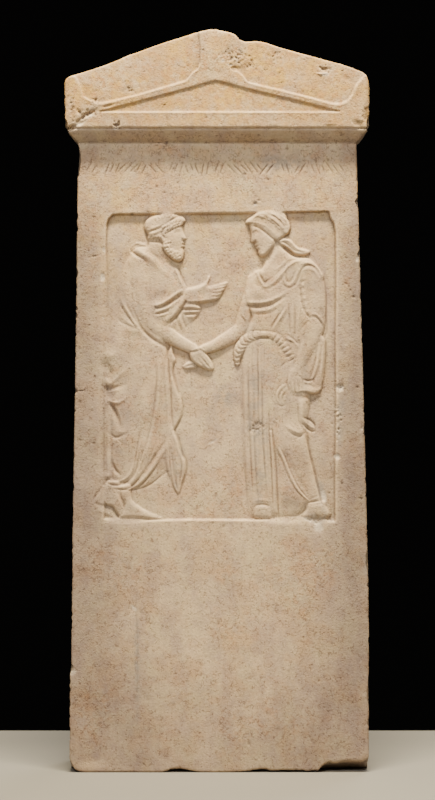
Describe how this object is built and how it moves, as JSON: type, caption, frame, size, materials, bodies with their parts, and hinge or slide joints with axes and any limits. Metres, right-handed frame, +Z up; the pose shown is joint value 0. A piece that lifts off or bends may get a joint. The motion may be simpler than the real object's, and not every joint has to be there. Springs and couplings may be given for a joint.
{
  "type": "carved stone stele",
  "caption": "Upright marble grave stele: tapering slab with a gabled crown and a sunk relief panel of a man and a woman clasping hands.",
  "frame": {"origin": "middle of the bounding box at the level of the underside", "axes": "+Z up along the slab's height; the carved front faces -Y; +X is to the right seen from the front"},
  "size_m": [0.4915, 0.155, 1.2],
  "materials": {
    "marble": "weathered, matt, warm beige with orange-brown specks"
  },
  "bodies": {
    "root": {"stele": "marble"}
  },
  "joints": []
}
